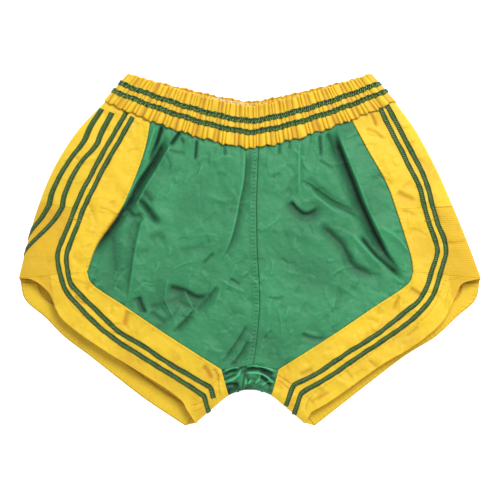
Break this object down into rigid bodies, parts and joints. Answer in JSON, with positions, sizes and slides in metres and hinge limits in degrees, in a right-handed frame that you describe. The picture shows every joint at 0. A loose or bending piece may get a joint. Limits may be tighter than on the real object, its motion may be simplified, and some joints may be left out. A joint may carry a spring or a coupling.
{
  "type": "boxing shorts",
  "caption": "Satin boxing shorts with an elastic waistband, wide contrasting side and leg borders and paired braid tapes, lying flat on their back.",
  "frame": {"origin": "under the middle of the outline, on the surface the back of the shorts lies on", "axes": "+X towards the wearer's left leg, +Y towards the waistband, +Z out of the front of the shorts"},
  "size_m": [0.5897, 0.45, 0.0219],
  "materials": {
    "green_satin": "green satin with a soft sheen",
    "gold_satin": "gold satin with a soft sheen",
    "gold_ribbed": "matt finely ribbed gold cloth",
    "green_braid": "woven dark green braid",
    "white_elastic": "ribbed white woven elastic"
  },
  "bodies": {
    "root": {"back_panel_left": "green_satin", "back_panel_right": "green_satin", "centre_back_seam": "green_satin", "centre_front_seam": "green_satin", "crotch_gusset": "green_satin", "front_panel_left": "green_satin", "front_panel_right": "green_satin", "hem_facing_back_left": "gold_satin", "hem_facing_back_right": "gold_satin", "hem_facing_front_left": "gold_satin", "hem_facing_front_right": "gold_satin", "leg_border_back_left": "gold_satin", "leg_border_back_right": "gold_satin", "leg_border_front_left": "gold_satin", "leg_border_front_right": "gold_satin", "leg_tape_inner_back_left": "green_braid", "leg_tape_inner_back_right": "green_braid", "leg_tape_inner_front_left": "green_braid", "leg_tape_inner_front_right": "green_braid", "leg_tape_outer_back_left": "green_braid", "leg_tape_outer_back_right": "green_braid", "leg_tape_outer_front_left": "green_braid", "leg_tape_outer_front_right": "green_braid", "side_gusset_left": "gold_ribbed", "side_gusset_right": "gold_ribbed", "side_panel_left": "gold_satin", "side_panel_right": "gold_satin", "waist_elastic": "white_elastic", "waist_tape_lower": "green_braid", "waist_tape_upper": "green_braid", "waistband_casing": "gold_satin", "waistband_facing": "gold_satin"}
  },
  "joints": []
}
